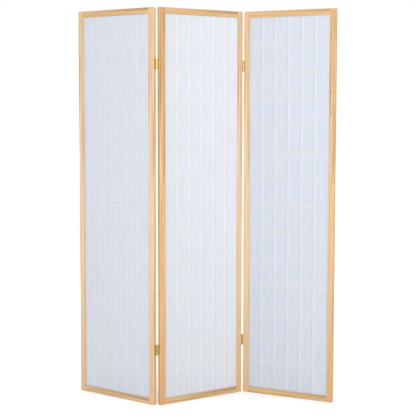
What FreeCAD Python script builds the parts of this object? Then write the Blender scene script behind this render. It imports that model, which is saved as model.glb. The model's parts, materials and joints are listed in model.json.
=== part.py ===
# Three-panel shoji folding screen, standing in a zigzag.
#
# Each panel is a pine frame of two stiles and two rails, grooved along its inner edges.
# The groove holds one sheet of paper and, behind it, a lattice: crossbars let into uprights.
# Two brass butt hinges join each pair of neighbouring panels.
#
# Row frame: X runs along the width, -Y is the front, +Z is up, and the origin is the middle
# of the footprint on the floor. Lengths are in millimetres and angles in degrees.

import FreeCAD, Part
import os
import Sketcher

Vector = FreeCAD.Vector
Placement = FreeCAD.Placement
Rotation = FreeCAD.Rotation

X_AXIS = Vector(1, 0, 0)
Y_AXIS = Vector(0, 1, 0)
Z_AXIS = Vector(0, 0, 1)

SIZES = {
    # Panel frame
    "panel_height": 1785,
    "panel_width": 445,
    "frame_thickness": 19,
    "stile_width": 28,
    "rail_height": 28,
    "edge_bevel": 1.5,
    # Groove, paper and lattice
    "groove_depth": 8,
    "paper_setback": 3.5,
    "paper_thickness": 0.4,
    "crossbar_depth": 4,
    "upright_depth": 8,
    "slat_width": 6,
    "column_count": 6,
    "row_count": 14,
    "seat_gap": 0.5,
    "lap_clearance": 0.1,
    # Standing angles, counted from the X axis
    "left_angle": -35.5,
    "middle_angle": 33,
    "right_angle": -25.5,
    # Hinges
    "hinge_inset": 250,
    "hinge_height": 50,
    "leaf_thickness": 1.2,
    "leaf_margin": 3.3,
    "pin_radius": 1.25,
    "pin_clearance": 0.05,
    "pin_stand_out": 0.5,
    "knuckle_count": 5,
    "knuckle_gap": 0.3,
    # Countersunk wood screws
    "screw_length": 12,
    "screw_radius": 1.3,
    "screw_head_rim": 0.1,
    "screw_clearance": 0.05,
    "screw_setback": 5,
    "screw_stagger": 5,
    "screw_end_margin": 9,
}

# Sizes that follow from the ones above. The hinge is fixed on the face of the stile's edge,
# so its barrel touches the plane of that edge and the plane of the panel's face.
GROOVE_WIDTH = "(Sizes.paper_thickness + Sizes.crossbar_depth)"
GROOVE_FLOOR = "(Sizes.stile_width - Sizes.groove_depth + Sizes.seat_gap)"
RAIL_GROOVE_FLOOR = "(Sizes.rail_height - Sizes.groove_depth + Sizes.seat_gap)"
LATTICE_FRONT = "(Sizes.paper_setback + Sizes.paper_thickness)"
CROSSBAR_BACK = "(%s + Sizes.crossbar_depth)" % LATTICE_FRONT
UPRIGHT_BACK = "(%s + Sizes.upright_depth)" % LATTICE_FRONT
COLUMN_PITCH = "((Sizes.panel_width - 2 * Sizes.stile_width) / Sizes.column_count)"
ROW_PITCH = "((Sizes.panel_height - 2 * Sizes.rail_height) / Sizes.row_count)"
FIRST_ROW = "(Sizes.rail_height + %s)" % ROW_PITCH
ROWS_SPAN = "((Sizes.row_count - 2) * %s)" % ROW_PITCH
BORE_RADIUS = "(Sizes.pin_radius + Sizes.pin_clearance)"
BARREL_RADIUS = "(Sizes.pin_radius + Sizes.pin_clearance + Sizes.leaf_thickness)"
LEAF_REACH = "(Sizes.frame_thickness + %s - Sizes.leaf_margin)" % BARREL_RADIUS
KNUCKLE_HEIGHT = "(Sizes.hinge_height / Sizes.knuckle_count)"
LEAF_FACE = "(%s - Sizes.leaf_thickness)" % BARREL_RADIUS
CONE_DEPTH = "(Sizes.leaf_thickness - Sizes.screw_head_rim)"
OUTER_SCREW_REACH = "(%s - Sizes.screw_setback)" % LEAF_REACH
MIDDLE_SCREW_REACH = "(%s - Sizes.screw_stagger)" % OUTER_SCREW_REACH

# The three screws of a leaf: distance from the pin's axis, height above the leaf's lower end
SCREW_PLACES = [
    (OUTER_SCREW_REACH, "Sizes.screw_end_margin"),
    (MIDDLE_SCREW_REACH, "(Sizes.hinge_height / 2)"),
    (OUTER_SCREW_REACH, "(Sizes.hinge_height - Sizes.screw_end_margin)"),
]

SCREW_FLATS = 8
COUNTERSINK_SLOPE = 45

doc = FreeCAD.newDocument("ShojiScreen")
sheet = doc.addObject("Spreadsheet::Sheet", "Sizes")
for row, (alias, number) in enumerate(SIZES.items(), start=1):
    sheet.set("A%d" % row, alias)
    sheet.set("B%d" % row, str(number))
    sheet.setAlias("B%d" % row, alias)
doc.recompute()

subparts = []


def value(expression):
    """The number that an expression of the sheet's sizes stands for."""
    return float(sheet.evalExpression(expression))


# ---------------------------------------------------------------- sketch and feature helpers


def new_body(label):
    body = doc.addObject("PartDesign::Body", label)
    body.Label = label
    body.AllowCompound = True
    subparts.append(body)
    return body


def origin_feature(body, role):
    return next(item for item in body.Origin.OriginFeatures if item.Role == role)


def new_sketch(body, name, plane, lift=None):
    """An empty sketch on one of the body's own origin planes, lifted along its normal."""
    sketch = body.newObject("Sketcher::SketchObject", name)
    sketch.AttachmentSupport = [(origin_feature(body, plane), "")]
    sketch.MapMode = "FlatFace"
    if lift is not None:
        sketch.setExpression("AttachmentOffset.Base.z", lift)
    return sketch


def pin_point(sketch, geometry, point, across, up):
    """Binds one point of the sketch to its two coordinates."""
    for kind, axis, expression in (("DistanceX", -2, across), ("DistanceY", -1, up)):
        if expression == "0":
            sketch.addConstraint(Sketcher.Constraint("PointOnObject", geometry, point, axis))
            continue
        bound = sketch.addConstraint(
            Sketcher.Constraint(kind, -1, 1, geometry, point, value(expression))
        )
        sketch.setExpression("Constraints[%d]" % bound, expression)


def add_polygon(sketch, corners, first_side=0):
    """Adds straight sides through the given corners to a sketch that has first_side already."""
    points = [Vector(value(across), value(up), 0) for across, up in corners]
    following = points[1:] + points[:1]
    for start, end in zip(points, following):
        sketch.addGeometry(Part.LineSegment(start, end), False)
    for number, (across, up) in enumerate(corners):
        side = first_side + number
        joined = first_side + (number + 1) % len(corners)
        sketch.addConstraint(Sketcher.Constraint("Coincident", side, 2, joined, 1))
        pin_point(sketch, side, 1, across, up)


def outline(body, name, plane, corners, lift=None):
    """A closed sketch with straight sides through the given corners."""
    sketch = new_sketch(body, name, plane, lift)
    add_polygon(sketch, corners)
    return sketch


def rectangle(body, name, plane, left, bottom, right, top, lift=None):
    corners = [(left, bottom), (right, bottom), (right, top), (left, top)]
    return outline(body, name, plane, corners, lift)


def circles(body, name, plane, radius, centres, lift=None):
    """A sketch of equal circles."""
    sketch = new_sketch(body, name, plane, lift)
    for number, (across, up) in enumerate(centres):
        centre = Vector(value(across), value(up), 0)
        sketch.addGeometry(Part.Circle(centre, Z_AXIS, value(radius)), False)
        bound = sketch.addConstraint(Sketcher.Constraint("Radius", number, value(radius)))
        sketch.setExpression("Constraints[%d]" % bound, radius)
        pin_point(sketch, number, 3, across, up)
    return sketch


def octagons(body, name, plane, radius, centres, lift=None):
    """A sketch of equal eight-sided outlines, their radius measured to the middle of a side.

    The many small screws have flats to stay light.
    """
    sketch = new_sketch(body, name, plane, lift)
    turn = 360 / SCREW_FLATS
    corner_radius = "(%s) / cos(%s)" % (radius, turn / 2)
    for number, (across, up) in enumerate(centres):
        corners = []
        for flat in range(SCREW_FLATS):
            angle = turn * (flat + 0.5)
            corners.append(
                (
                    "%s + %s * cos(%s)" % (across, corner_radius, angle),
                    "%s + %s * sin(%s)" % (up, corner_radius, angle),
                )
            )
        add_polygon(sketch, corners, first_side=number * SCREW_FLATS)
    return sketch


def pad(body, name, sketch, length):
    feature = body.newObject("PartDesign::Pad", name)
    feature.Profile = sketch
    feature.setExpression("Length", length)
    return feature


def pocket(body, name, sketch, length):
    """Cuts from the sketch along its normal."""
    feature = body.newObject("PartDesign::Pocket", name)
    feature.Profile = sketch
    feature.Reversed = True
    feature.setExpression("Length", length)
    return feature


def repeat(body, name, feature, axis, span, count):
    """Copies a feature along an origin axis, with the last copy at the end of the span."""
    pattern = body.newObject("PartDesign::LinearPattern", name)
    pattern.Originals = [feature]
    pattern.Direction = (origin_feature(body, axis), [""])
    pattern.setExpression("Length", span)
    pattern.setExpression("Occurrences", count)
    body.Tip = pattern
    return pattern


def bevel(body, name, base, is_chosen, size):
    """Bevels the edges of the feature that is_chosen picks by their two end points."""
    doc.recompute()
    edges = []
    for number, edge in enumerate(base.Shape.Edges, start=1):
        if is_chosen(edge.firstVertex().Point, edge.lastVertex().Point):
            edges.append("Edge%d" % number)
    feature = body.newObject("PartDesign::Chamfer", name)
    feature.Base = (base, edges)
    feature.setExpression("Size", size)
    return feature


# ---------------------------------------------------------------- panel frame
# A panel's own frame starts at its lower left corner on the front face: X runs to the right
# along the panel, Y from the front face to the back face, and Z up.


def stile(label, pin_side):
    """Upright of the frame, its outer edge at X = 0 and its groove towards +X.

    pin_side is the face that its hinge pins stand proud of: back, front, or None with no hinge.
    """
    body = new_body(label)
    section = rectangle(
        body, "Section", "XY_Plane", "0", "0", "Sizes.stile_width", "Sizes.frame_thickness"
    )
    bar = pad(body, "Bar", section, "Sizes.panel_height")

    def is_outer_edge(start, end):
        return max(start.x, end.x) < 1e-6 and abs(start.y - end.y) < 1e-6

    bevel(body, "EasedEdges", bar, is_outer_edge, "Sizes.edge_bevel")
    groove = rectangle(
        body,
        "GrooveSection",
        "XY_Plane",
        "Sizes.stile_width - Sizes.groove_depth",
        "Sizes.paper_setback",
        "Sizes.stile_width",
        "Sizes.paper_setback + %s" % GROOVE_WIDTH,
    )
    pocket(body, "Groove", groove, "Sizes.panel_height")
    if pin_side is not None:
        drill_pilot_holes(body, pin_side)
    return body


def drill_pilot_holes(body, pin_side):
    """Holes for the screws of both hinges, in the stile's outer edge."""
    centres = []
    for lower_end in hinge_lower_ends():
        for reach, rise in SCREW_PLACES:
            across = "%s - %s" % (reach, BARREL_RADIUS)
            if pin_side == "back":
                across = "Sizes.frame_thickness + %s - %s" % (BARREL_RADIUS, reach)
            centres.append((across, "%s + %s" % (lower_end, rise)))
    radius = "Sizes.screw_radius + Sizes.screw_clearance"
    depth = "Sizes.screw_length - Sizes.leaf_thickness + Sizes.screw_clearance"
    holes = octagons(body, "PilotOutlines", "YZ_Plane", radius, centres)
    pocket(body, "PilotHoles", holes, depth)


def hinge_lower_ends():
    """Height of each hinge's lower end above the floor, lower hinge first."""
    return [
        "(Sizes.hinge_inset - Sizes.hinge_height / 2)",
        "(Sizes.panel_height - Sizes.hinge_inset - Sizes.hinge_height / 2)",
    ]


def rail(label):
    """Cross member, grooved on top, with a stub tenon at each end that fills the stile's groove."""
    body = new_body(label)
    shoulder = "Sizes.stile_width"
    length = "Sizes.panel_width - 2 * Sizes.stile_width"
    section = rectangle(
        body,
        "Section",
        "YZ_Plane",
        "0",
        "0",
        "Sizes.frame_thickness",
        "Sizes.rail_height",
        lift=shoulder,
    )
    bar = pad(body, "Bar", section, length)

    def is_outer_edge(start, end):
        return max(start.z, end.z) < 1e-6 and abs(start.y - end.y) < 1e-6

    bevel(body, "EasedEdges", bar, is_outer_edge, "Sizes.edge_bevel")
    tenon = rectangle(
        body,
        "TenonSection",
        "YZ_Plane",
        "Sizes.paper_setback",
        "0",
        "Sizes.paper_setback + %s" % GROOVE_WIDTH,
        "Sizes.rail_height - Sizes.groove_depth",
        lift=GROOVE_FLOOR,
    )
    pad(body, "Tenons", tenon, "Sizes.panel_width - 2 * %s" % GROOVE_FLOOR)
    groove = rectangle(
        body,
        "GrooveSection",
        "YZ_Plane",
        "Sizes.paper_setback",
        "Sizes.rail_height - Sizes.groove_depth",
        "Sizes.paper_setback + %s" % GROOVE_WIDTH,
        "Sizes.rail_height",
        lift=shoulder,
    )
    pocket(body, "Groove", groove, length)
    return body


# ---------------------------------------------------------------- paper and lattice


def paper(label):
    """One sheet that covers the front of the lattice, its edges held in the groove."""
    sheet_of_paper = doc.addObject("Part::Box", label)
    sheet_of_paper.Label = label
    sheet_of_paper.setExpression("Length", "Sizes.panel_width - 2 * %s" % GROOVE_FLOOR)
    sheet_of_paper.setExpression("Width", "Sizes.paper_thickness")
    sheet_of_paper.setExpression("Height", "Sizes.panel_height - 2 * %s" % RAIL_GROOVE_FLOOR)
    subparts.append(sheet_of_paper)
    return sheet_of_paper


def upright(label):
    """Slat centred on X = 0, notched in front for the crossbars, with a tenon at each end."""
    body = new_body(label)
    half_width = "Sizes.slat_width / 2"
    section = rectangle(
        body,
        "Section",
        "XY_Plane",
        "-%s" % half_width,
        LATTICE_FRONT,
        half_width,
        UPRIGHT_BACK,
        lift=RAIL_GROOVE_FLOOR,
    )
    pad(body, "Slat", section, "Sizes.panel_height - 2 * %s" % RAIL_GROOVE_FLOOR)

    shoulder = rectangle(
        body,
        "ShoulderSection",
        "YZ_Plane",
        CROSSBAR_BACK,
        RAIL_GROOVE_FLOOR,
        UPRIGHT_BACK,
        "Sizes.rail_height",
        lift="-%s" % half_width,
    )
    cut = pocket(body, "Shoulder", shoulder, "Sizes.slat_width")
    span = "Sizes.panel_height - Sizes.rail_height - %s" % RAIL_GROOVE_FLOOR
    repeat(body, "Shoulders", cut, "Z_Axis", span, "2")

    notch = rectangle(
        body,
        "NotchSection",
        "YZ_Plane",
        LATTICE_FRONT,
        "%s - Sizes.slat_width / 2 - Sizes.lap_clearance" % FIRST_ROW,
        "%s + Sizes.lap_clearance" % CROSSBAR_BACK,
        "%s + Sizes.slat_width / 2 + Sizes.lap_clearance" % FIRST_ROW,
        lift="-%s" % half_width,
    )
    cut = pocket(body, "Notch", notch, "Sizes.slat_width")
    repeat(body, "Notches", cut, "Z_Axis", ROWS_SPAN, "Sizes.row_count - 1")
    return body


def crossbars(label):
    """All level slats of a panel, let flush into the front of the uprights."""
    body = new_body(label)
    section = rectangle(
        body,
        "Section",
        "YZ_Plane",
        LATTICE_FRONT,
        "%s - Sizes.slat_width / 2" % FIRST_ROW,
        CROSSBAR_BACK,
        "%s + Sizes.slat_width / 2" % FIRST_ROW,
        lift=GROOVE_FLOOR,
    )
    slat = pad(body, "Slat", section, "Sizes.panel_width - 2 * %s" % GROOVE_FLOOR)
    repeat(body, "Slats", slat, "Z_Axis", ROWS_SPAN, "Sizes.row_count - 1")
    return body


# ---------------------------------------------------------------- hinges
# A hinge's own frame has the pin along Z and the hinge's lower end at Z = 0. As modelled, the
# leaf lies on the edge of a stile at +X and reaches towards -Y from a pin behind the panel.


def hinge_leaf(label, knuckles_at_ends):
    """Leaf with every other knuckle of the barrel: the odd ones from the end, or the even ones."""
    body = new_body(label)
    plate = rectangle(
        body,
        "PlateSection",
        "XY_Plane",
        LEAF_FACE,
        "-%s" % LEAF_REACH,
        BARREL_RADIUS,
        "0",
    )
    pad(body, "Plate", plate, "Sizes.hinge_height")
    barrel = circles(body, "BarrelSection", "XY_Plane", BARREL_RADIUS, [("0", "0")])
    pad(body, "Barrel", barrel, "Sizes.hinge_height")

    # Room for the other leaf's knuckles, with the running gap shared by both leaves
    clear = "%s + Sizes.knuckle_gap" % BARREL_RADIUS
    first_gap = "-Sizes.knuckle_gap / 2"
    gap_count = "(Sizes.knuckle_count + 1) / 2"
    if knuckles_at_ends:
        first_gap = "%s - Sizes.knuckle_gap / 2" % KNUCKLE_HEIGHT
        gap_count = "(Sizes.knuckle_count - 1) / 2"
    room = rectangle(
        body,
        "RoomSection",
        "XY_Plane",
        "-(%s)" % clear,
        "-(%s)" % clear,
        clear,
        clear,
        lift=first_gap,
    )
    cut = pocket(body, "Room", room, "%s + Sizes.knuckle_gap" % KNUCKLE_HEIGHT)
    span = "(%s - 1) * 2 * %s" % (gap_count, KNUCKLE_HEIGHT)
    repeat(body, "Rooms", cut, "Z_Axis", span, gap_count)

    bore = circles(body, "BoreCircle", "XY_Plane", BORE_RADIUS, [("0", "0")])
    pocket(body, "Bore", bore, "Sizes.hinge_height")
    countersink_leaf(body)
    return body


def countersink_leaf(body):
    """Screw holes, countersunk through the leaf from its inner face."""
    centres = [("-%s" % reach, rise) for reach, rise in SCREW_PLACES]
    radius = "Sizes.screw_radius + Sizes.leaf_thickness + Sizes.screw_clearance"
    outlines = octagons(body, "HoleOutlines", "YZ_Plane", radius, centres, lift=LEAF_FACE)
    holes = pocket(body, "ScrewHoles", outlines, "Sizes.leaf_thickness")

    # The holes' sides are the only faces that lie wholly in the leaf's thickness and round a hole
    doc.recompute()
    axes = [Vector(0, value("-%s" % reach), value(rise)) for reach, rise in SCREW_PLACES]
    sides = []
    inner_face = None
    for number, face in enumerate(holes.Shape.Faces, start=1):
        middle = face.CenterOfGravity
        nearest = min((Vector(0, middle.y, middle.z) - axis).Length for axis in axes)
        if abs(middle.x - value(LEAF_FACE)) < 1e-6:
            inner_face = "Face%d" % number
        elif nearest < value(radius) + 1e-6 and middle.x < value(BARREL_RADIUS) - 1e-6:
            sides.append("Face%d" % number)
    countersinks = body.newObject("PartDesign::Draft", "Countersinks")
    countersinks.Base = (holes, sides)
    countersinks.NeutralPlane = (holes, [inner_face])
    countersinks.Angle = COUNTERSINK_SLOPE
    countersinks.Reversed = True


def hinge_pin(label):
    """Plain pin through all knuckles, its ends standing just outside the barrel."""
    body = new_body(label)
    circle = circles(
        body,
        "Section",
        "XY_Plane",
        "Sizes.pin_radius",
        [("0", "0")],
        lift="-Sizes.pin_stand_out",
    )
    pad(body, "Pin", circle, "Sizes.hinge_height + 2 * Sizes.pin_stand_out")
    return body


def hinge_screws(label):
    """The three screws of one leaf, their flat heads level with the leaf's inner face."""
    body = new_body(label)
    centres = [("-%s" % reach, rise) for reach, rise in SCREW_PLACES]
    radius = "Sizes.screw_radius + %s" % CONE_DEPTH
    outlines = octagons(body, "HeadOutlines", "YZ_Plane", radius, centres, lift=LEAF_FACE)
    heads = pad(body, "Heads", outlines, "Sizes.leaf_thickness")

    def is_far_rim(start, end):
        return min(start.x, end.x) > value(BARREL_RADIUS) - 1e-6

    bevel(body, "Cones", heads, is_far_rim, CONE_DEPTH)
    shanks = octagons(
        body, "ShankOutlines", "YZ_Plane", "Sizes.screw_radius", centres, lift=LEAF_FACE
    )
    pad(body, "Shanks", shanks, "Sizes.screw_length")
    return body


# ---------------------------------------------------------------- assembly


def turned(degrees):
    return Rotation(Z_AXIS, degrees)


def panel_frame(angle, joint_point, pin_point_in_panel):
    """A panel's place: its pin point lies on the joint point, and it is turned to its angle."""
    rotation = turned(angle)
    return Placement(joint_point - rotation.multVec(pin_point_in_panel), rotation)


BACK_PIN_DEPTH = value("Sizes.frame_thickness + %s" % BARREL_RADIUS)
FRONT_PIN_DEPTH = value("-%s" % BARREL_RADIUS)
LEFT_OF_PANEL = value("-%s" % BARREL_RADIUS)
RIGHT_OF_PANEL = value("Sizes.panel_width + %s" % BARREL_RADIUS)
HEIGHT = value("Sizes.panel_height")
WIDTH = value("Sizes.panel_width")

middle_frame = Placement(Vector(0, 0, 0), turned(value("Sizes.middle_angle")))
left_pin_axis = middle_frame.multVec(Vector(LEFT_OF_PANEL, BACK_PIN_DEPTH, 0))
right_pin_axis = middle_frame.multVec(Vector(RIGHT_OF_PANEL, FRONT_PIN_DEPTH, 0))
left_frame = panel_frame(
    value("Sizes.left_angle"), left_pin_axis, Vector(RIGHT_OF_PANEL, BACK_PIN_DEPTH, 0)
)
right_frame = panel_frame(
    value("Sizes.right_angle"), right_pin_axis, Vector(LEFT_OF_PANEL, FRONT_PIN_DEPTH, 0)
)

# Turns a stile or rail end for end, which keeps its front face in front
END_FOR_END = Placement(Vector(WIDTH, 0, HEIGHT), Rotation(Y_AXIS, 180))


def build_panel(name, frame, left_stile, right_stile):
    """One panel. Each stile is given as its name and the face its hinge pins stand proud of."""
    stile("%s_%s_stile" % (name, left_stile[0]), left_stile[1]).Placement = frame
    stile("%s_%s_stile" % (name, right_stile[0]), right_stile[1]).Placement = frame * END_FOR_END
    rail("%s_bottom_rail" % name).Placement = frame
    rail("%s_top_rail" % name).Placement = frame * END_FOR_END
    corner = Vector(value(GROOVE_FLOOR), value("Sizes.paper_setback"), value(RAIL_GROOVE_FLOOR))
    paper("%s_paper" % name).Placement = frame * Placement(corner, Rotation())
    for column in range(1, int(value("Sizes.column_count"))):
        across = value("Sizes.stile_width") + column * value(COLUMN_PITCH)
        place = Placement(Vector(across, 0, 0), Rotation())
        upright("%s_upright_%d" % (name, column)).Placement = frame * place
    crossbars("%s_crossbars" % name).Placement = frame


def build_hinges(fold, pin_axis, sides, pin_side):
    """Both hinges of a fold. Each side gives its panel's name, angle and place of the panel."""
    lift = Placement(Vector(0, 0, value("Sizes.hinge_height")), Rotation())
    as_modelled = Placement()
    poses = {
        ("right", "back"): as_modelled,
        ("left", "back"): lift * Placement(Vector(0, 0, 0), Rotation(Y_AXIS, 180)),
        ("left", "front"): Placement(Vector(0, 0, 0), Rotation(Z_AXIS, 180)),
        ("right", "front"): lift * Placement(Vector(0, 0, 0), Rotation(X_AXIS, 180)),
    }
    for level, lower_end in zip(("lower", "upper"), hinge_lower_ends()):
        hinge = "%s_fold_%s_hinge" % (fold, level)
        foot = pin_axis + Vector(0, 0, value(lower_end))
        for panel, angle, hand in sides:
            seat = Placement(foot, turned(angle)) * poses[hand, pin_side]
            is_middle = panel == "middle"
            hinge_leaf("%s_%s_leaf" % (hinge, panel), is_middle).Placement = seat
            hinge_screws("%s_%s_screws" % (hinge, panel)).Placement = seat
        hinge_pin("%s_pin" % hinge).Placement = Placement(foot, Rotation())


build_panel("left", left_frame, ("outer", None), ("hinged", "back"))
build_panel("middle", middle_frame, ("left", "back"), ("right", "front"))
build_panel("right", right_frame, ("hinged", "front"), ("outer", None))
build_hinges(
    "left",
    left_pin_axis,
    [
        ("left", value("Sizes.left_angle"), "left"),
        ("middle", value("Sizes.middle_angle"), "right"),
    ],
    "back",
)
build_hinges(
    "right",
    right_pin_axis,
    [
        ("middle", value("Sizes.middle_angle"), "left"),
        ("right", value("Sizes.right_angle"), "right"),
    ],
    "front",
)
doc.recompute()


# ---------------------------------------------------------------- origin, checks and files


def check_document():
    """Stops if any object failed or any sub-part is not a sound solid."""
    for item in doc.Objects:
        if "Invalid" in item.State or "Error" in item.State:
            raise RuntimeError("%s failed: %s" % (item.Name, item.State))
    for part in subparts:
        if part.Shape.isNull() or not part.Shape.isValid() or not part.Shape.Solids:
            raise RuntimeError("%s has no sound shape" % part.Label)


check_document()

# The middle of the footprint becomes the origin
footprint = FreeCAD.BoundBox()
for part in subparts:
    footprint.add(part.Shape.optimalBoundingBox(False))
shift = Vector(-footprint.Center.x, -footprint.Center.y, -footprint.ZMin)
for part in subparts:
    part.Placement = Placement(shift, Rotation()) * part.Placement
doc.recompute()
check_document()

os.makedirs("parts", exist_ok=True)
for part in subparts:
    part.Shape.exportStep("parts/%s.step" % part.Label)

left_turn = value("Sizes.middle_angle - Sizes.left_angle")
right_turn = value("Sizes.middle_angle - Sizes.right_angle")
print("sub-parts", len(subparts), "size", footprint.XLength, footprint.YLength, footprint.ZLength)
print("left fold axis", left_pin_axis + shift, "turns", left_turn - 180, "to", left_turn)
print("right fold axis", right_pin_axis + shift, "turns", right_turn - 180, "to", right_turn)
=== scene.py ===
# Looks of a three-panel shoji folding screen: pine frames, paper over a slatted lattice, brass hinges.
import json
import math
import random

import bpy
from mathutils import Matrix, Vector
from mathutils.geometry import tessellate_polygon


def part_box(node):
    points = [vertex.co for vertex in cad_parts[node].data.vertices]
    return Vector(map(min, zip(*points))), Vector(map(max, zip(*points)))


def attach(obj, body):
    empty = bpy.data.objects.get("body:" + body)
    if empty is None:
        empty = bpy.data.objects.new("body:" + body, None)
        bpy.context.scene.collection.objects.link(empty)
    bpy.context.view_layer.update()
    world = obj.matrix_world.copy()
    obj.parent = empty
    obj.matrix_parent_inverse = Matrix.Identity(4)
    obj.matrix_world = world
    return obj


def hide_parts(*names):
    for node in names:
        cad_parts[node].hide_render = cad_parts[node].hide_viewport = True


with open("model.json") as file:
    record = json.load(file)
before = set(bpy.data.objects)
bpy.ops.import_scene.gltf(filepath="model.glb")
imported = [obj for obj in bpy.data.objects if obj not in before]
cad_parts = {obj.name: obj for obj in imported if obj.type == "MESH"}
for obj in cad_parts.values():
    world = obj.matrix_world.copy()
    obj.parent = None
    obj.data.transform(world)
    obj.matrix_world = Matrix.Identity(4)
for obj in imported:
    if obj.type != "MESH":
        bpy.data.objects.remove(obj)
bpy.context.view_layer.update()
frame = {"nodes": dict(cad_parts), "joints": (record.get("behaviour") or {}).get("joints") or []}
NODES = frame["nodes"]

MM = 0.001

# The solids' own sizes. A panel's axes start at its lower left front corner: X along it,
# Y from front to back, Z up
PANEL_HEIGHT = 1785 * MM
PANEL_WIDTH = 445 * MM
FRAME_THICKNESS = 19 * MM
MEMBER_WIDTH = 28 * MM
GROOVE_DEPTH = 8 * MM
SEAT_GAP = 0.5 * MM
PAPER_SETBACK = 3.5 * MM
PAPER_THICKNESS = 0.4 * MM
BARREL_RADIUS = 2.5 * MM
COLUMNS = 6
ROWS = 14
COLUMN_PITCH = (PANEL_WIDTH - 2 * MEMBER_WIDTH) / COLUMNS
ROW_PITCH = (PANEL_HEIGHT - 2 * MEMBER_WIDTH) / ROWS
ANGLES = {"left": -35.5, "middle": 33.0, "right": -25.5}

FOLDS = {joint["name"]: Vector(joint["pos_m"]) for joint in frame["joints"]}
LEFT_FOLD = Vector((FOLDS["left_fold"].x, FOLDS["left_fold"].y, 0))
RIGHT_FOLD = Vector((FOLDS["right_fold"].x, FOLDS["right_fold"].y, 0))

# Where a pin stands in a panel's axes: off its front or back, and off its left or right end
PIN_AHEAD = -BARREL_RADIUS
PIN_BEHIND = FRAME_THICKNESS + BARREL_RADIUS
PIN_LEFT = -BARREL_RADIUS
PIN_RIGHT = PANEL_WIDTH + BARREL_RADIUS

# First random seed of each kind of piece
SEEDS = {"stile": 11, "rail": 41, "uprights": 71, "crossbars": 81, "paper": 301, "screws": 501}


def panel_place(panel, pin, pin_in_panel):
    """Matrix from a panel's own axes to the screen's, with its pin point on the fold's axis."""
    turn = Matrix.Rotation(math.radians(ANGLES[panel]), 4, "Z")
    return Matrix.Translation(pin - turn @ Vector(pin_in_panel)) @ turn


PLACES = {
    "left": panel_place("left", LEFT_FOLD, (PIN_RIGHT, PIN_BEHIND, 0)),
    "middle": panel_place("middle", LEFT_FOLD, (PIN_LEFT, PIN_BEHIND, 0)),
    "right": panel_place("right", RIGHT_FOLD, (PIN_LEFT, PIN_AHEAD, 0)),
}


def node_middle(name):
    low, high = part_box(name)
    return (low + high) / 2


def dress(name, material):
    """Gives a CAD node its material."""
    piece = NODES[name]
    piece.data.materials.clear()
    piece.data.materials.append(material)


def scaled(tone, factors):
    """A colour with each channel times its own factor."""
    return tuple(channel * factor for channel, factor in zip(tone, factors))


def grey(factor):
    return (factor, factor, factor)


# ---------------------------------------------------------------- material graphs


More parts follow.
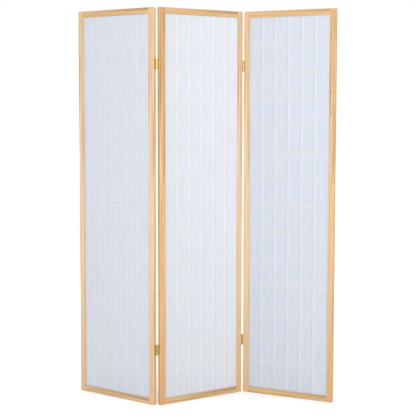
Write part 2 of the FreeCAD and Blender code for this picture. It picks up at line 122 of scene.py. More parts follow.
class Graph:
    """Short calls for building a material's node tree around one Principled shader."""

    def __init__(self, name):
        self.material = bpy.data.materials.new(name)
        self.material.use_nodes = True
        self.tree = self.material.node_tree
        self.tree.nodes.clear()
        self.output = self.node("ShaderNodeOutputMaterial")
        self.shader = self.node("ShaderNodeBsdfPrincipled")
        self.link(self.shader.outputs[0], self.output.inputs["Surface"])

    def node(self, kind, **settings):
        made = self.tree.nodes.new(kind)
        for key, setting in settings.items():
            setattr(made, key, setting)
        return made

    def link(self, source, target):
        self.tree.links.new(source, target)

    def feed(self, target, source):
        """Links a socket to a target, or sets the target to a plain value."""
        if isinstance(source, bpy.types.NodeSocket):
            self.link(source, target)
        else:
            target.default_value = source

    def math(self, operation, first, second=None):
        made = self.node("ShaderNodeMath", operation=operation)
        self.feed(made.inputs[0], first)
        if second is not None:
            self.feed(made.inputs[1], second)
        return made.outputs[0]

    def length(self, first, second):
        """Length of the vector whose two parts are given."""
        squares = [self.math("MULTIPLY", part, part) for part in (first, second)]
        return self.math("SQRT", self.math("ADD", *squares))

    def local(self, rotation_z=0.0, location=(0, 0, 0)):
        """Coordinates of the piece at rest, turned and shifted, as three separate sockets."""
        coordinates = self.node("ShaderNodeTexCoord")
        mapping = self.node("ShaderNodeMapping", vector_type="POINT")
        mapping.inputs["Rotation"].default_value = (0, 0, rotation_z)
        mapping.inputs["Location"].default_value = location
        self.link(coordinates.outputs["Object"], mapping.inputs["Vector"])
        split = self.node("ShaderNodeSeparateXYZ")
        self.link(mapping.outputs[0], split.inputs[0])
        return split.outputs[0], split.outputs[1], split.outputs[2]

    def noise(self, x, y, z, scales, detail=2.0, roughness=0.5):
        """Noise of three coordinates, each with its own scale per metre."""
        joined = self.node("ShaderNodeCombineXYZ")
        for target, source, scale in zip(joined.inputs, (x, y, z), scales):
            self.feed(target, self.math("MULTIPLY", source, scale))
        made = self.node("ShaderNodeTexNoise", noise_dimensions="3D")
        made.inputs["Scale"].default_value = 1.0
        made.inputs["Detail"].default_value = detail
        made.inputs["Roughness"].default_value = roughness
        self.link(joined.outputs[0], made.inputs["Vector"])
        return made.outputs["Fac"]

    def stretch(self, source, low, high, to_low=0.0, to_high=1.0, smooth=False):
        """Maps low..high to to_low..to_high, and holds the ends outside that."""
        made = self.node("ShaderNodeMapRange", clamp=True)
        if smooth:
            made.interpolation_type = "SMOOTHSTEP"
        self.feed(made.inputs["Value"], source)
        made.inputs["From Min"].default_value = low
        made.inputs["From Max"].default_value = high
        made.inputs["To Min"].default_value = to_low
        made.inputs["To Max"].default_value = to_high
        return made.outputs[0]

    def curve(self, source, stops):
        made = self.node("ShaderNodeValToRGB")
        ramp = made.color_ramp
        while len(ramp.elements) < len(stops):
            ramp.elements.new(0.5)
        for element, (place, shade) in zip(ramp.elements, stops):
            element.position = place
            element.color = (shade, shade, shade, 1)
        self.feed(made.inputs["Fac"], source)
        return made.outputs["Color"]

    def mix(self, share, first, second, blend="MIX"):
        made = self.node("ShaderNodeMix", data_type="RGBA", blend_type=blend)
        self.feed(made.inputs["Factor"], share)
        self.feed(made.inputs[6], first if not isinstance(first, tuple) else (*first, 1))
        self.feed(made.inputs[7], second if not isinstance(second, tuple) else (*second, 1))
        return made.outputs[2]

    def shaded(self, colour, brightness):
        """A colour times a varying brightness."""
        joined = self.node("ShaderNodeCombineColor")
        for target in joined.inputs:
            self.link(brightness, target)
        return self.mix(1.0, colour, joined.outputs[0], blend="MULTIPLY")

    def bump(self, height, strength, distance):
        made = self.node("ShaderNodeBump")
        made.inputs["Strength"].default_value = strength
        made.inputs["Distance"].default_value = distance
        self.link(height, made.inputs["Height"])
        self.link(made.outputs[0], self.shader.inputs["Normal"])


# ---------------------------------------------------------------- pine

# Colour of the early and the late wood
PALE = ((0.685, 0.525, 0.342), (0.45, 0.268, 0.123))
HONEY = ((0.62, 0.44, 0.245), (0.38, 0.20, 0.07))
ORANGE = ((0.625, 0.415, 0.21), (0.325, 0.135, 0.04))
RAIL = ((0.555, 0.382, 0.198), (0.35, 0.18, 0.062))

# Factors on the early wood's colour, in its warm patches and in the painted shade at its foot
WARM = (0.98, 0.88, 0.74)
PAINTED_FOOT_SHADE = (0.82, 0.68, 0.52)

# Painted shade darkens a stile or upright at its foot and has faded out this far above its middle
PAINTED_SHADE_TOP = 150 * MM

# Least and most, in millimetres: how far the pith lies to the side of a member's middle and
# how far before or behind it, and the width of a ring
PITH_ASIDE = (8, 40)
PITH_DEPTH = (30, 60)
RING_PITCH = (3.4, 4.6)

# How far the rings stray in all, from one side to the other
RING_WANDER = 30 * MM

# Darkness across one growth ring
RING_PROFILE = [(0.0, 0.0), (0.35, 0.1), (0.75, 0.75), (0.9, 1.0), (1.0, 0.0)]

# Round a knot, distance along the grain counts for less than distance across it
KNOT_ALONG_SHARE = 0.55

# In radii of a knot: where its spot starts to fade and where it has faded, how far the grain
# bends around it, and how far it is pushed aside
KNOT_SPOT = (0.4, 1.5)
KNOT_BEND = 7
KNOT_PUSH = 1.2

KNOT_BROWN = (0.25, 0.10, 0.04)
WOOD_RELIEF = 0.25 * MM
EASED_EDGE = 0.6 * MM


def knots_in_grain(graph, along, across, knots):
    """The across coordinate, bent round the knots, and the knots' darkness or None."""
    darkness = None
    for knot_along, knot_across, radius in knots:
        off_along = graph.math("SUBTRACT", along, knot_along * MM)
        off_along = graph.math("MULTIPLY", off_along, KNOT_ALONG_SHARE)
        off_across = graph.math("SUBTRACT", across, knot_across * MM)
        distance = graph.length(off_along, off_across)
        core, rim = (share * radius * MM for share in KNOT_SPOT)
        spot = graph.stretch(distance, core, rim, 1, 0, smooth=True)
        push = graph.stretch(distance, 0.0, KNOT_BEND * radius * MM, 1, 0, smooth=True)
        side = graph.math("MULTIPLY", graph.math("SIGN", off_across), KNOT_PUSH * radius * MM)
        across = graph.math("ADD", across, graph.math("MULTIPLY", push, side))
        darkness = spot if darkness is None else graph.math("MAXIMUM", darkness, spot)
    return across, darkness


def growth_rings(graph, across, deep, along, seed):
    """Share of late wood, 0 to 1, in rings about a pith outside the member."""
    chance = random.Random(seed)
    wander = graph.noise(across, deep, along, (14, 14, 2.2))
    wander = graph.math("MULTIPLY", graph.math("SUBTRACT", wander, 0.5), RING_WANDER)
    aside = chance.choice((-1, 1)) * chance.uniform(*PITH_ASIDE) * MM
    depth = chance.choice((-1, 1)) * chance.uniform(*PITH_DEPTH) * MM
    from_pith = graph.math("ADD", graph.math("SUBTRACT", across, aside), wander)
    radius = graph.length(from_pith, graph.math("SUBTRACT", deep, depth))
    uneven = graph.noise(across, deep, along, (70, 70, 5))
    pitch = chance.uniform(*RING_PITCH) * MM
    rings = graph.math("ADD", graph.math("DIVIDE", radius, pitch), uneven)
    latewood = graph.curve(graph.math("FRACT", rings), RING_PROFILE)
    fading = graph.noise(across, deep, along, (45, 45, 3))
    return graph.math("MULTIPLY", latewood, graph.stretch(fading, 0.35, 0.6, 0.2, 1.0))


def pine(name, angle, lengthwise, middle, tone, seed, knots=()):
    """Clear-coated pine: growth rings, dark bands, fibres, warm patches, knots, and painted shade
    towards the foot.

    lengthwise is the local axis of the grain, Z or X, and middle the member's centre at rest.
    Each knot is its place along and across from the middle and its radius, all in millimetres.
    """
    early, late = tone
    graph = Graph(name)
    turned = Matrix.Rotation(math.radians(-angle), 4, "Z") @ middle
    x, deep, z = graph.local(math.radians(-angle), tuple(-turned))
    along, across = (z, x) if lengthwise == "Z" else (x, z)
    across, knot_shade = knots_in_grain(graph, along, across, knots)
    latewood = growth_rings(graph, across, deep, along, seed)
    band = graph.noise(across, deep, along, (160, 160, 1.4), roughness=0.6)
    band = graph.stretch(band, 0.45, 0.58)
    colour = graph.mix(graph.math("MAXIMUM", latewood, band), early, late)

    patches = graph.noise(across, deep, along, (8, 8, 1.3))
    colour = graph.mix(graph.stretch(patches, 0.4, 0.7, 0.0, 0.6), colour, scaled(early, WARM))
    # Painted shade: members that stand upright darken towards their foot
    if lengthwise == "Z":
        painted_foot_shade = graph.stretch(along, -PANEL_HEIGHT / 2, PAINTED_SHADE_TOP, 1.0, 0.0)
        colour = graph.mix(painted_foot_shade, colour, scaled(early, PAINTED_FOOT_SHADE))
    if knot_shade is not None:
        colour = graph.mix(graph.math("MULTIPLY", knot_shade, 0.85), colour, KNOT_BROWN)
    fibres = graph.noise(across, deep, along, (1400, 1400, 22), detail=3, roughness=0.6)
    colour = graph.shaded(colour, graph.stretch(fibres, 0.3, 0.7, 0.89, 1.08))

    graph.link(colour, graph.shader.inputs["Base Color"])
    graph.link(graph.stretch(latewood, 0, 1, 0.5, 0.4), graph.shader.inputs["Roughness"])
    graph.shader.inputs["Coat Weight"].default_value = 0.12
    graph.shader.inputs["Coat Roughness"].default_value = 0.35
    ring_relief = graph.math("MULTIPLY", latewood, 0.5)
    fibre_relief = graph.math("MULTIPLY", fibres, 0.8)
    graph.bump(graph.math("ADD", ring_relief, fibre_relief), 0.25, WOOD_RELIEF)
    return graph.material


def ease_edges(name):
    """Rounds the edges of a CAD node by modifiers, which leave its mesh as it is."""
    piece = NODES[name]
    weld = piece.modifiers.new("weld", "WELD")
    weld.merge_threshold = 0.01 * MM
    bevel = piece.modifiers.new("ease", "BEVEL")
    bevel.width = EASED_EDGE
    bevel.segments = 2
    bevel.limit_method = "ANGLE"
    bevel.angle_limit = math.radians(30)


# The two stiles of each panel, left to right, with their tones
STILES = {
    "left": {"left_outer_stile": PALE, "left_hinged_stile": PALE},
    "middle": {"middle_left_stile": ORANGE, "middle_right_stile": PALE},
    "right": {"right_hinged_stile": PALE, "right_outer_stile": HONEY},
}
KNOTS = {
    "right_outer_stile": [(520, 6, 3.0), (430, -4, 2.2)],
    "middle_left_stile": [(-330, -5, 2.4)],
    "right_hinged_stile": [(470, 7, 2.0)],
}


def dress_wood(number, panel, angle):
    """Pine on a panel's stiles, rails and lattice."""
    for place, (name, tone) in enumerate(STILES[panel].items()):
        seed = SEEDS["stile"] + 7 * number + place
        knots = KNOTS.get(name, ())
        dress(name, pine("pine_" + name, angle, "Z", node_middle(name), tone, seed, knots))
        ease_edges(name)
    for place, end in enumerate(("top", "bottom")):
        name = "%s_%s_rail" % (panel, end)
        seed = SEEDS["rail"] + 5 * number + place
        dress(name, pine("pine_" + name, angle, "X", node_middle(name), RAIL, seed))
        ease_edges(name)

    middle = node_middle(panel + "_paper")
    seed = SEEDS["uprights"] + number
    upright_pine = pine("pine_%s_uprights" % panel, angle, "Z", middle, PALE, seed)
    for column in range(1, COLUMNS):
        dress("%s_upright_%d" % (panel, column), upright_pine)
    name = panel + "_crossbars"
    dress(name, pine("pine_" + name, angle, "X", middle, PALE, SEEDS["crossbars"] + number))


for number, (panel, angle) in enumerate(ANGLES.items()):
    dress_wood(number, panel, angle)


# ---------------------------------------------------------------- brass

# Factors on the brass's colour in its dull clouds
DULLED = (0.72, 0.66, 0.5)
BRASS_RELIEF = 0.05 * MM


def brass(name, tone, roughness):
    """Brass brushed along Z, with dull clouds."""
    graph = Graph(name)
    x, y, z = graph.local()
    cloud = graph.noise(x, y, z, (300, 300, 300), detail=4)
    brushed = graph.noise(x, y, z, (2500, 2500, 60))
    colour = graph.mix(graph.stretch(cloud, 0.4, 0.75, 0.0, 0.6), tone, scaled(tone, DULLED))
    graph.link(colour, graph.shader.inputs["Base Color"])
    graph.shader.inputs["Metallic"].default_value = 1.0
    cloud_share = graph.math("MULTIPLY", cloud, 0.5)
    brushed_share = graph.math("MULTIPLY", brushed, 0.5)
    mixed = graph.math("ADD", cloud_share, brushed_share)
    rough = graph.stretch(mixed, 0.3, 0.7, roughness - 0.08, roughness + 0.12)
    graph.link(rough, graph.shader.inputs["Roughness"])
    graph.bump(brushed, 0.15, BRASS_RELIEF)
    return graph.material


LEAF_BRASS = brass("brass_leaf", (0.66, 0.54, 0.27), 0.38)
PIN_BRASS = brass("brass_pin", (0.62, 0.50, 0.24), 0.3)
# The screws' brass is nearly black: painted shade for the shadow on and round their small heads
SCREW_PAINTED_SHADE_BRASS = brass("brass_screw_painted_shade", (0.12, 0.085, 0.045), 0.45)

for name in NODES:
    if name.endswith("_leaf"):
        dress(name, LEAF_BRASS)
    elif name.endswith("_pin"):
        dress(name, PIN_BRASS)


# ---------------------------------------------------------------- screws

HINGE_HEIGHT = 50 * MM
HINGE_INSET = 250 * MM
LEAF_THICKNESS = 1.2 * MM
LEAF_MARGIN = 3.3 * MM
LEAF_FACE = BARREL_RADIUS - LEAF_THICKNESS
LEAF_REACH = FRAME_THICKNESS + BARREL_RADIUS - LEAF_MARGIN
SCREW_SETBACK = 5 * MM
SCREW_STAGGER = 5 * MM
SCREW_END_MARGIN = 9 * MM
OUTER_REACH = LEAF_REACH - SCREW_SETBACK
SCREW_REACHES = (OUTER_REACH, OUTER_REACH - SCREW_STAGGER, OUTER_REACH)
SCREW_RISES = (SCREW_END_MARGIN, HINGE_HEIGHT / 2, HINGE_HEIGHT - SCREW_END_MARGIN)

SCREW_LENGTH = 12 * MM
SHANK_RADIUS = 1.3 * MM
SOLID_HEAD_RIM = 0.1 * MM
HEAD_RADIUS = SHANK_RADIUS + LEAF_THICKNESS - SOLID_HEAD_RIM

# What the solid screws don't have: how deep the head is sunk, the height of its round rim, and
# the tip, whose radius and the shank's radius before it are shares of the shank's
HEAD_SINK = 0.02 * MM
HEAD_RIM = 0.12 * MM
TIP_LENGTH = 3 * MM
TIP_SETBACK = 0.1 * MM
TIP_SHARE = 0.12
SHANK_TAPER = 0.96

RIM_POINTS = 28

# The driver's cross slot: its arms' length and half width as shares of the head's radius, and
# its floor's outline as a share of its mouth's
SLOT_ARM = 0.62
SLOT_HALF_WIDTH = 0.13
SLOT_FLOOR_SHARE = 0.8
SLOT_DEPTH = 0.75 * MM


def cross_outline(reach, half_width, turn):
    """Twelve corners of the driver's cross slot, anticlockwise."""
    corners = []
    for arm in range(4):
        angle = turn + arm * math.pi / 2
        for out, side in ((reach, -half_width), (reach, half_width), (half_width, half_width)):
            corners.append(
                (
                    out * math.cos(angle) - side * math.sin(angle),
                    out * math.sin(angle) + side * math.cos(angle),
                )
            )
    return corners


def add_screw(points, faces, place, turn):
    """Countersunk screw, its head's centre at place and its shank along +X."""
    start = len(points)
    rim = []
    for step in range(RIM_POINTS):
        angle = 2 * math.pi * step / RIM_POINTS
        rim.append((math.cos(angle), math.sin(angle)))
    cross = cross_outline(SLOT_ARM * HEAD_RADIUS, SLOT_HALF_WIDTH * HEAD_RADIUS, turn)
    for y, z in rim:
        points.append(place + Vector((0, HEAD_RADIUS * y, HEAD_RADIUS * z)))
    for y, z in cross:
        points.append(place + Vector((0, y, z)))

    # Flat face round the slot
    outlines = [
        [Vector((y, z, 0)) * HEAD_RADIUS for y, z in rim],
        [Vector((y, z, 0)) for y, z in cross],
    ]
    for triangle in tessellate_polygon(outlines):
        a, b, c = (points[start + corner] for corner in triangle)
        turned = (b - a).cross(c - a).x > 0
        faces.append(tuple(start + corner for corner in (triangle[::-1] if turned else triangle)))

    # Walls and floor of the slot
    corners = len(cross)
    slot = start + RIM_POINTS
    slot_floor = len(points)
    for y, z in cross:
        points.append(place + Vector((SLOT_DEPTH, SLOT_FLOOR_SHARE * y, SLOT_FLOOR_SHARE * z)))
    for step in range(corners):
        after = (step + 1) % corners
        faces.append((slot + step, slot_floor + step, slot_floor + after, slot + after))
    faces.append(tuple(slot_floor + step for step in reversed(range(corners))))

    # Rim, cone, shank and tip
    last = start
    for depth, radius in (
        (HEAD_RIM, HEAD_RADIUS),
        (LEAF_THICKNESS, SHANK_RADIUS),
        (SCREW_LENGTH - TIP_LENGTH, SHANK_RADIUS * SHANK_TAPER),
        (SCREW_LENGTH - TIP_SETBACK, SHANK_RADIUS * TIP_SHARE),
    ):
        ring = len(points)
        for y, z in rim:
            points.append(place + Vector((depth, radius * y, radius * z)))
        for step in range(RIM_POINTS):
            after = (step + 1) % RIM_POINTS
            faces.append((last + step, last + after, ring + after, ring + step))
        last = ring
    faces.append(tuple(last + step for step in range(RIM_POINTS)))


def leaf_place(fold, level, panel, hand, pin_side):
    """Matrix from a leaf's own axes, with its pin along Z and its screws along +X."""
    middle = HINGE_INSET if level == "lower" else PANEL_HEIGHT - HINGE_INSET
    rise = middle - FOLDS[fold].z - HINGE_HEIGHT / 2
    foot = Matrix.Translation(FOLDS[fold] + Vector((0, 0, rise)))
    lift = Matrix.Translation((0, 0, HINGE_HEIGHT))
    seats = {
        ("right", "back"): Matrix(),
        ("left", "back"): lift @ Matrix.Rotation(math.pi, 4, "Y"),
        ("left", "front"): Matrix.Rotation(math.pi, 4, "Z"),
        ("right", "front"): lift @ Matrix.Rotation(math.pi, 4, "X"),
    }
    turn = Matrix.Rotation(math.radians(ANGLES[panel]), 4, "Z")
    return foot @ turn @ seats[hand, pin_side]


def leaf_screws(name, place, seed):
    """The three screws of one leaf."""
    chance = random.Random(seed)
    points, faces = [], []
    for reach, rise in zip(SCREW_REACHES, SCREW_RISES):
        head = Vector((LEAF_FACE + HEAD_SINK, -reach, rise))
        add_screw(points, faces, head, chance.uniform(0, math.pi / 2))
    mesh = bpy.data.meshes.new(name)
    mesh.from_pydata(points, [], faces)
    mesh.update()
    piece = bpy.data.objects.new(name, mesh)
    bpy.context.scene.collection.objects.link(piece)
    piece.matrix_world = place
    piece.data.materials.append(SCREW_PAINTED_SHADE_BRASS)
    return piece


# Every leaf: its fold, level and panel, the side of the fold on which the panel stands, and the
# side of the panels on which the pin stands
LEAVES = [
    (fold, level, panel, hand, pin_side)
    for fold, pin_side, leaves in (
        ("left_fold", "back", (("left", "left"), ("middle", "right"))),
        ("right_fold", "front", (("middle", "left"), ("right", "right"))),
    )
    for level in ("lower", "upper")
    for panel, hand in leaves
]

for number, (fold, level, panel, hand, pin_side) in enumerate(LEAVES):
    node = "%s_%s_hinge_%s_screws" % (fold, level, panel)
    place = leaf_place(fold, level, panel, hand, pin_side)
    piece = leaf_screws(node + "_heads", place, SEEDS["screws"] + number)
    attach(piece, panel + "_panel")
    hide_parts(node)


# ---------------------------------------------------------------- paper

SHEET_START = MEMBER_WIDTH - GROOVE_DEPTH + SEAT_GAP
SHEET_THICKNESS = 0.3 * MM
SHEET_FRONT = PAPER_SETBACK + (PAPER_THICKNESS - SHEET_THICKNESS) / 2
COLUMN_STEPS = 8
ROW_STEPS = 12

# Least and most swelling of a cell towards the front, in millimetres, how lopsided it is, and
# how much it waves from bottom to top
SWELL = (-0.28, 0.42)
LEAN = (-0.6, 0.6)
RIPPLE = 0.4

PAPER_RELIEF = 0.08 * MM
LIGHT_THROUGH = 0.12

# Distances from the middle of a band on the paper at which it starts to fade and has faded.
# A painted light band lies on each slat's middle, and a painted shade band beside each upright's
UPRIGHT_PAINTED_LIGHT_BAND = (2.6 * MM, 7.2 * MM)
CROSSBAR_PAINTED_LIGHT_BAND = (2.4 * MM, 4.6 * MM)
PAINTED_SHADE_BAND = (1.0 * MM, 5.5 * MM)
PAINTED_SHADE_OFFSET = 9.5 * MM

# Factors on the paper's colour: painted light in front of an upright and of a level slat, and
# painted shade in the band beside an upright
UPRIGHT_PAINTED_LIGHT = (1.16, 1.08, 1.02)
CROSSBAR_PAINTED_LIGHT = (1.14, 1.03, 0.945)
PAINTED_SHADE_TINT = (0.97, 0.90, 0.88)

# Each sheet's colour, the strength of its painted light bands on the uprights and on the level
# slats, the side of the uprights on which the painted shade bands lie (1 right, -1 left), their
# strength at the sheet's left and right, the sheet's painted light gradient there
# (painted_light_drift), and how bright the painted shade leaves its left edge (rim)
# The three sheets are one paper: the differences among their tones are painted light and shade, the
# middle sheet brightest
PAPERS = {
    "left": {
        "tone": (0.562, 0.590, 0.648),
        "upright": 0.5,
        "crossbar": 0.6,
        "painted_shade_side": 1,
        "painted_shade_strength": (0.4, 0.3),
        "painted_light_drift": (1.0, 1.0),
        "rim": 0.9,
    },
    "middle": {
        "tone": (0.604, 0.630, 0.674),
        "upright": 0.72,
        "crossbar": 0.52,
        "painted_shade_side": 1,
        "painted_shade_strength": (0.3, 1.0),
        "painted_light_drift": (0.95, 1.07),
        "rim": 0.95,
    },
    "right": {
        "tone": (0.540, 0.579, 0.644),
        "upright": 0.9,
        "crossbar": 0.9,
        "painted_shade_side": -1,
        "painted_shade_strength": (0.8, 0.8),
        "painted_light_drift": (1.0, 1.0),
        "rim": 0.98,
    },
}


def paper_ground(graph, x, z, tone):
    """The bare paper's colour and relief: clouds, long threads and short fibres."""
    cloud = graph.noise(x, 0.0, z, (55, 1, 35), detail=4, roughness=0.6)
    threads = graph.noise(x, 0.0, z, (240, 1, 8), detail=3, roughness=0.65)
    fibres = graph.noise(x, 0.0, z, (900, 1, 260), detail=3, roughness=0.7)
    colour = graph.mix(graph.stretch(cloud, 0.3, 0.7), scaled(tone, grey(0.945)), tone)
    threaded = graph.stretch(threads, 0.4, 0.65, 0.0, 0.8)
    colour = graph.mix(threaded, colour, scaled(tone, grey(0.88)))
    fibred = graph.stretch(fibres, 0.55, 0.75, 0.0, 0.4)
    colour = graph.mix(fibred, colour, scaled(tone, grey(1.06)))
    relief = graph.math("ADD", fibres, graph.math("MULTIPLY", cloud, 2.0))
    return colour, relief


def off_line(graph, cell, pitch):
    """Signed distance in metres to the nearest slat's middle."""
    return graph.math("MULTIPLY", graph.math("SUBTRACT", cell, graph.math("ROUND", cell)), pitch)


def is_slat(graph, cell, count):
    """1 where the nearest line is a slat, and 0 where it is the frame."""
    low = graph.math("GREATER_THAN", cell, 0.5)
    return graph.math("MULTIPLY", low, graph.math("LESS_THAN", cell, count - 0.5))


def painted_slat_light_and_shade(graph, x, z, column, row, look):
    """Painted light of the slats behind the paper, level ones crisp and uprights soft, and a painted
    shade band beside each upright.
    """
    from_upright = off_line(graph, column, COLUMN_PITCH)
    from_crossbar = off_line(graph, row, ROW_PITCH)
    uneven = graph.stretch(graph.noise(x, 0.0, z, (40, 1, 14)), 0.3, 0.7, 0.7, 1.0)
    upright = graph.math("ABSOLUTE", from_upright)
    upright = graph.stretch(upright, *UPRIGHT_PAINTED_LIGHT_BAND, 1, 0, smooth=True)
    upright = graph.math("MULTIPLY", upright, is_slat(graph, column, COLUMNS))
    upright = graph.math("MULTIPLY", upright, uneven)
    crossbar = graph.math("ABSOLUTE", from_crossbar)
    crossbar = graph.stretch(crossbar, *CROSSBAR_PAINTED_LIGHT_BAND, 1, 0, smooth=True)
    crossbar = graph.math("MULTIPLY", crossbar, is_slat(graph, row, ROWS))
    beside = graph.math("SUBTRACT", from_upright, look["painted_shade_side"] * PAINTED_SHADE_OFFSET)
    shade = graph.stretch(graph.math("ABSOLUTE", beside), *PAINTED_SHADE_BAND, 1, 0, smooth=True)
    shade = graph.math("MULTIPLY", shade, is_slat(graph, column, COLUMNS))
    shade = graph.math("MULTIPLY", shade, graph.stretch(column, 1.5, 4.5, *look["painted_shade_strength"]))

    # Painted shade beside the uprights, then painted light over the uprights and the level slats
    painted_light_and_shade = graph.mix(shade, grey(1.0), PAINTED_SHADE_TINT)
    painted_light_and_shade = graph.mix(graph.math("MULTIPLY", upright, look["upright"]), painted_light_and_shade, UPRIGHT_PAINTED_LIGHT)
    return graph.mix(graph.math("MULTIPLY", crossbar, look["crossbar"]), painted_light_and_shade, CROSSBAR_PAINTED_LIGHT)


def paper_material(panel, look):
    """Translucent white paper, with the slats that it is glued to showing through as painted light
    bands and painted shade beside the uprights, over a painted light gradient and painted shade at the
    left edge.
    """
    graph = Graph("paper_" + panel)
    x, _, z = graph.local()
    column = graph.math("DIVIDE", graph.math("SUBTRACT", x, MEMBER_WIDTH), COLUMN_PITCH)
    row = graph.math("DIVIDE", graph.math("SUBTRACT", z, MEMBER_WIDTH), ROW_PITCH)
    ground, relief = paper_ground(graph, x, z, look["tone"])
    painted_light_and_shade = painted_slat_light_and_shade(graph, x, z, column, row, look)
    colour = graph.mix(1.0, ground, painted_light_and_shade, blend="MULTIPLY")
    # Painted light: the sheet's brightness changes slowly from its left to its right
    painted_light_drift = graph.stretch(column, 0.0, COLUMNS, *look["painted_light_drift"])
    # Painted shade: the sheet darkens near its left edge, beside the left stile
    rim = graph.stretch(column, 0.0, 0.3, look["rim"], 1.0, smooth=True)
    colour = graph.shaded(colour, graph.math("MULTIPLY", painted_light_drift, rim))

    graph.link(colour, graph.shader.inputs["Base Color"])
    graph.shader.inputs["Roughness"].default_value = 0.85
    graph.shader.inputs["Specular IOR Level"].default_value = 0.25
    graph.bump(relief, 0.2, PAPER_RELIEF)
    through = graph.node("ShaderNodeBsdfTranslucent")
    graph.link(colour, through.inputs["Color"])
    mixed = graph.node("ShaderNodeMixShader")
    mixed.inputs[0].default_value = LIGHT_THROUGH
    graph.link(graph.shader.outputs[0], mixed.inputs[1])
    graph.link(through.outputs[0], mixed.inputs[2])
    graph.link(mixed.outputs[0], graph.output.inputs["Surface"])
    return graph.material


def grid_lines(count, pitch, steps, end):
    """Places of the sheet's mesh lines: two in the groove at each end, and steps in every cell."""
    half_way = (SHEET_START + MEMBER_WIDTH) / 2
    cells = [MEMBER_WIDTH + step * pitch / steps for step in range(count * steps + 1)]
    return [SHEET_START, half_way] + cells + [end - half_way, end - SHEET_START]


def swellings(seed):
    """Function that says how far the sheet swells at a place, a little differently per cell."""
    chance = random.Random(seed)
    swell = [[chance.uniform(*SWELL) * MM for _ in range(ROWS)] for _ in range(COLUMNS)]
    lean = [[chance.uniform(*LEAN) for _ in range(ROWS)] for _ in range(COLUMNS)]

    def swelling(x, z):
        column = (x - MEMBER_WIDTH) / COLUMN_PITCH
        row = (z - MEMBER_WIDTH) / ROW_PITCH
        if not (0 < column < COLUMNS and 0 < row < ROWS):
            return 0.0
        c, r = min(int(column), COLUMNS - 1), min(int(row), ROWS - 1)
        u, v = column - c, row - r
        dome = math.sin(math.pi * u) * math.sin(math.pi * v)
        ripple = RIPPLE * math.sin(2 * math.pi * v + 3 * lean[c][r])
        tilt = 1 + lean[c][r] * (u - 0.5) + ripple
        return swell[c][r] * dome * tilt

    return swelling


def paper_sheet(panel, seed):
    """A taut sheet that swells a little towards the front or back within every cell."""
    across = grid_lines(COLUMNS, COLUMN_PITCH, COLUMN_STEPS, PANEL_WIDTH)
    up = grid_lines(ROWS, ROW_PITCH, ROW_STEPS, PANEL_HEIGHT)
    swelling = swellings(seed)
    points = []
    for depth in (0.0, SHEET_THICKNESS):
        for z in up:
            for x in across:
                points.append((x, SHEET_FRONT + depth - swelling(x, z), z))

    # Front and back, then the bottom, top, left and right edges
    wide, high = len(across), len(up)
    layer = wide * high
    faces = []
    for j in range(high - 1):
        for i in range(wide - 1):
            a = j * wide + i
            faces.append((a, a + 1, a + wide + 1, a + wide))
            b = a + layer
            faces.append((b, b + wide, b + wide + 1, b + 1))
    for i in range(wide - 1):
        faces.append((i, i + layer, i + 1 + layer, i + 1))
        t = (high - 1) * wide + i
        faces.append((t, t + 1, t + 1 + layer, t + layer))
    for j in range(high - 1):
        a = j * wide
        faces.append((a, a + wide, a + wide + layer, a + layer))
        b = a + wide - 1
        faces.append((b, b + layer, b + wide + layer, b + wide))
    mesh = bpy.data.meshes.new(panel + "_paper_sheet")
    mesh.from_pydata(points, [], faces)
    mesh.shade_smooth()
    mesh.update()
    piece = bpy.data.objects.new(panel + "_paper_sheet", mesh)
    bpy.context.scene.collection.objects.link(piece)
    piece.matrix_world = PLACES[panel]
    return piece


for number, (panel, look) in enumerate(PAPERS.items()):
    piece = paper_sheet(panel, SEEDS["paper"] + number)
    piece.data.materials.append(paper_material(panel, look))
    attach(piece, panel + "_panel")
    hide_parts(panel + "_paper")


# ---------------------------------------------------------------- floor, light and camera

FLOOR_REACH = 30
FLOOR_DROP = 0.3 * MM
SOFTBOX_SIZE = (1.8, 1.4)

# The photo's width in pixels, and the camera sensor's in millimetres
PHOTO_WIDTH = 416
SENSOR_WIDTH = 36


def floor():
    """Plain pale floor, just below the screen's feet."""
    reach = FLOOR_REACH
    mesh = bpy.data.meshes.new("floor")
    corners = [(-reach, -reach, 0), (reach, -reach, 0), (reach, reach, 0), (-reach, reach, 0)]
    mesh.from_pydata(corners, [], [(0, 1, 2, 3)])
    piece = bpy.data.objects.new("floor", mesh)
    piece.location.z = -FLOOR_DROP
    bpy.context.scene.collection.objects.link(piece)
    graph = Graph("floor")
    x, y, z = graph.local()
    cloud = graph.noise(x, y, z, (0.7, 0.7, 0.7))
    colour = graph.mix(cloud, grey(0.93), grey(0.95))
    graph.link(colour, graph.shader.inputs["Base Color"])
    graph.shader.inputs["Roughness"].default_value = 0.9
    graph.shader.inputs["Specular IOR Level"].default_value = 0.1
    mesh.materials.append(graph.material)


def softbox(name, place, target, watts):
    """A white area light that the camera itself doesn't see."""
    lamp = bpy.data.lights.new(name, "AREA")
    lamp.shape = "RECTANGLE"
    lamp.size, lamp.size_y = SOFTBOX_SIZE
    lamp.energy = watts
    holder = bpy.data.objects.new(name, lamp)
    holder.location = place
    aim = Vector(target) - Vector(place)
    holder.rotation_euler = aim.to_track_quat("-Z", "Y").to_euler()
    holder.visible_camera = False
    bpy.context.scene.collection.objects.link(holder)


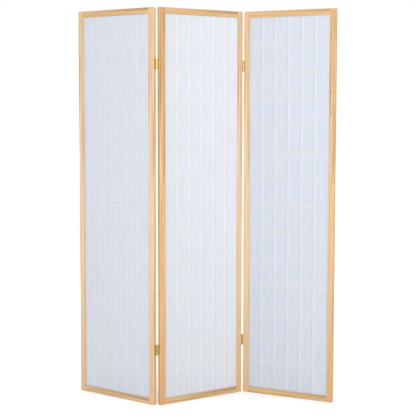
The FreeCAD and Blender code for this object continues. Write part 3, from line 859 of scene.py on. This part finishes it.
def overhead(strength):
    """Even light from straight above, which keeps the floor white out to the horizon."""
    lamp = bpy.data.lights.new("overhead", "SUN")
    lamp.energy = strength
    lamp.angle = math.radians(70)
    holder = bpy.data.objects.new("overhead", lamp)
    holder.location = (0, 0, 4)
    bpy.context.scene.collection.objects.link(holder)


def sky():
    """White surroundings."""
    world = bpy.data.worlds.new("studio")
    world.use_nodes = True
    background = world.node_tree.nodes["Background"]
    background.inputs["Color"].default_value = (1, 1, 1, 1)
    background.inputs["Strength"].default_value = 1.0
    bpy.context.scene.world = world


def camera(place, yaw, pitch, roll, focal_pixels, shift_y):
    """A camera that looks along +Y, turned by small angles in degrees."""
    yaw, pitch, roll = (math.radians(angle) for angle in (yaw, pitch, roll))
    ahead = Vector(
        (
            -math.sin(yaw) * math.cos(pitch),
            math.cos(yaw) * math.cos(pitch),
            -math.sin(pitch),
        )
    )
    level = Vector((math.cos(yaw), math.sin(yaw), 0))
    upward = level.cross(ahead)
    right = level * math.cos(roll) + upward * math.sin(roll)
    up = upward * math.cos(roll) - level * math.sin(roll)
    data = bpy.data.cameras.new("camera")
    data.sensor_fit = "HORIZONTAL"
    data.sensor_width = SENSOR_WIDTH
    data.lens = focal_pixels * SENSOR_WIDTH / PHOTO_WIDTH
    data.shift_y = shift_y
    data.clip_start = 0.05
    data.clip_end = 100
    holder = bpy.data.objects.new("camera", data)
    axes = Matrix((right, up, -ahead)).transposed().to_4x4()
    holder.matrix_world = Matrix.Translation(Vector(place)) @ axes
    bpy.context.scene.collection.objects.link(holder)
    bpy.context.scene.camera = holder


floor()
sky()
softbox("key", place=(0.1, -3.2, 2.0), target=(0.0, 0.0, 1.15), watts=62)
softbox("back_fill", place=(-0.5, 3.4, 1.9), target=(0.0, 0.0, 1.0), watts=26)
overhead(0.35)
camera(
    place=(0.033, -4.848, 1.3524),
    yaw=0.224,
    pitch=4.398,
    roll=0.107,
    focal_pixels=1061.55,
    shift_y=-0.05,
)
bpy.context.scene.view_settings.view_transform = "Standard"
